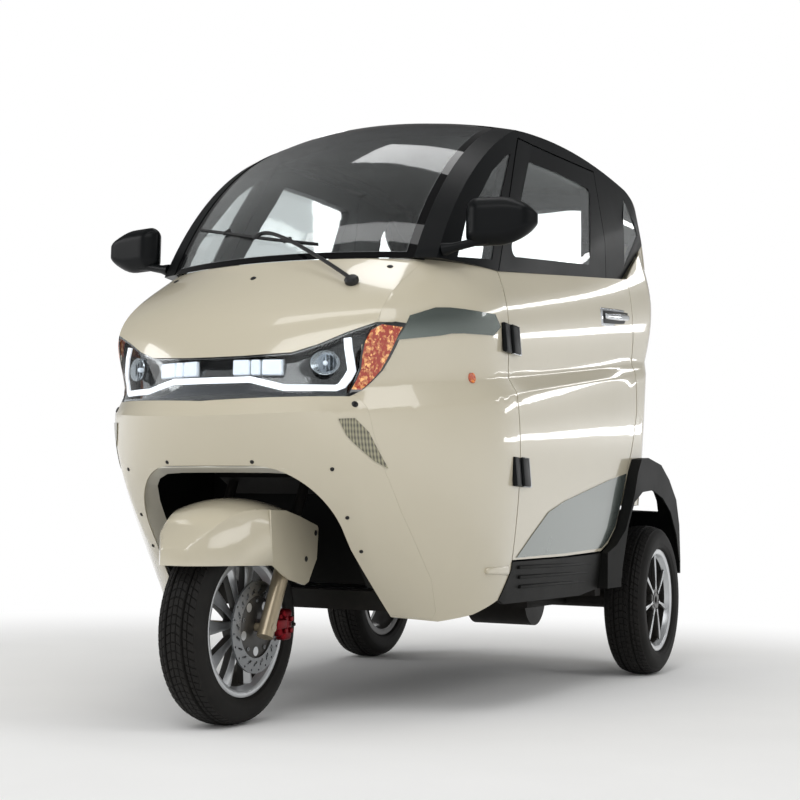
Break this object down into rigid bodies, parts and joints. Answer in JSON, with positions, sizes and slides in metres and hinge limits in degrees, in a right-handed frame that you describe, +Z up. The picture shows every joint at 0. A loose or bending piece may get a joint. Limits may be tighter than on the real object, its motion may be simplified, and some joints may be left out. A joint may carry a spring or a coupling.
{
  "type": "enclosed electric tricycle",
  "caption": "Enclosed electric tricycle: glazed two-row cabin on one steered front wheel and two driven rear wheels, with opening side doors.",
  "frame": {"origin": "on the ground, under the middle of the overall length and width", "axes": "-Y is the direction of travel, +X the left side of the vehicle, +Z up"},
  "size_m": [1.315, 2.3, 1.7148],
  "materials": {
    "tyre_rubber": "matt",
    "cast_aluminium": "polished",
    "clear_glazing": "gloss",
    "lamp_lens": "gloss",
    "light_guide": "satin",
    "amber_lens": "gloss",
    "red_lens": "gloss",
    "lamp_housing": "gloss",
    "silver_paint": "metallic",
    "cream_paint": "pearl gloss",
    "chrome_trim": "polished",
    "brake_steel": "brushed",
    "red_anodised": "satin",
    "fork_finish": "satin",
    "chassis_paint": "satin",
    "seat_cover": "grained",
    "satin_black": "satin",
    "black_plastic": "grained"
  },
  "bodies": {
    "body": {"accent_blades": "silver_paint", "battery_block": "chassis_paint", "bonnet": "cream_paint", "cab_frame": "satin_black", "chassis_frame": "chassis_paint", "corner_lamps": "lamp_lens", "dashboard": "black_plastic", "driver_backrest": "seat_cover", "driver_cushion": "seat_cover", "floor_pan": "black_plastic", "front_fascia": "cream_paint", "front_side_panels": "cream_paint", "headlamp_housing": "lamp_housing", "headlamp_lens": "lamp_lens", "light_strip": "light_guide", "mirrors": "black_plastic", "quarter_glass": "clear_glazing", "rear_axle": "chassis_paint", "rear_backrest": "seat_cover", "rear_bumper": "black_plastic", "rear_cushion": "seat_cover", "rear_panel": "cream_paint", "rear_quarter_panels": "cream_paint", "rear_window": "clear_glazing", "roof_panel": "satin_black", "seat_bases": "black_plastic", "side_markers": "amber_lens", "sills": "black_plastic", "tail_lamps": "red_lens", "turn_lamps": "amber_lens", "wheel_flares": "black_plastic", "wheel_housings": "black_plastic", "windshield": "clear_glazing", "wiper": "black_plastic"},
    "front_wheel": {"front_tyre": "tyre_rubber", "front_rim": "cast_aluminium", "front_disc": "brake_steel"},
    "steering": {"fork": "fork_finish", "front_fender": "cream_paint", "brake_caliper": "red_anodised"},
    "rear_wheel_left": {"rear_tyre_left": "tyre_rubber", "rear_rim_left": "cast_aluminium"},
    "rear_wheel_right": {"rear_tyre_right": "tyre_rubber", "rear_rim_right": "cast_aluminium"},
    "side_door_left": {"door_accent_left": "silver_paint", "door_fittings_left": "chrome_trim", "door_frame_left": "satin_black", "door_glass_left": "clear_glazing", "door_left": "cream_paint"},
    "side_door_right": {"door_accent_right": "silver_paint", "door_fittings_right": "chrome_trim", "door_frame_right": "satin_black", "door_glass_right": "clear_glazing", "door_right": "cream_paint"}
  },
  "joints": [
    {"name": "steering_turn", "type": "hinge", "parent": "body", "child": "steering", "pos_m": [0, -0.86638, 0.236], "axis": [0, 0.4226, 0.9063], "range_deg": [-35, 35]},
    {"name": "front_wheel_spin", "type": "hinge", "parent": "steering", "child": "front_wheel", "pos_m": [0, -0.905, 0.236], "axis": [1, 0, 0], "continuous": true},
    {"name": "rear_wheel_left_spin", "type": "hinge", "parent": "body", "child": "rear_wheel_left", "pos_m": [0.515, 0.835, 0.247], "axis": [1, 0, 0], "continuous": true},
    {"name": "rear_wheel_right_spin", "type": "hinge", "parent": "body", "child": "rear_wheel_right", "pos_m": [-0.515, 0.835, 0.247], "axis": [1, 0, 0], "continuous": true},
    {"name": "door_left_swing", "type": "hinge", "parent": "body", "child": "side_door_left", "pos_m": [0.5245, -0.367, 0.802], "axis": [0.1006, 0, -0.9949], "range_deg": [0, 65]},
    {"name": "door_right_swing", "type": "hinge", "parent": "body", "child": "side_door_right", "pos_m": [-0.5245, -0.367, 0.802], "axis": [0.1006, 0, 0.9949], "range_deg": [0, 65]}
  ]
}
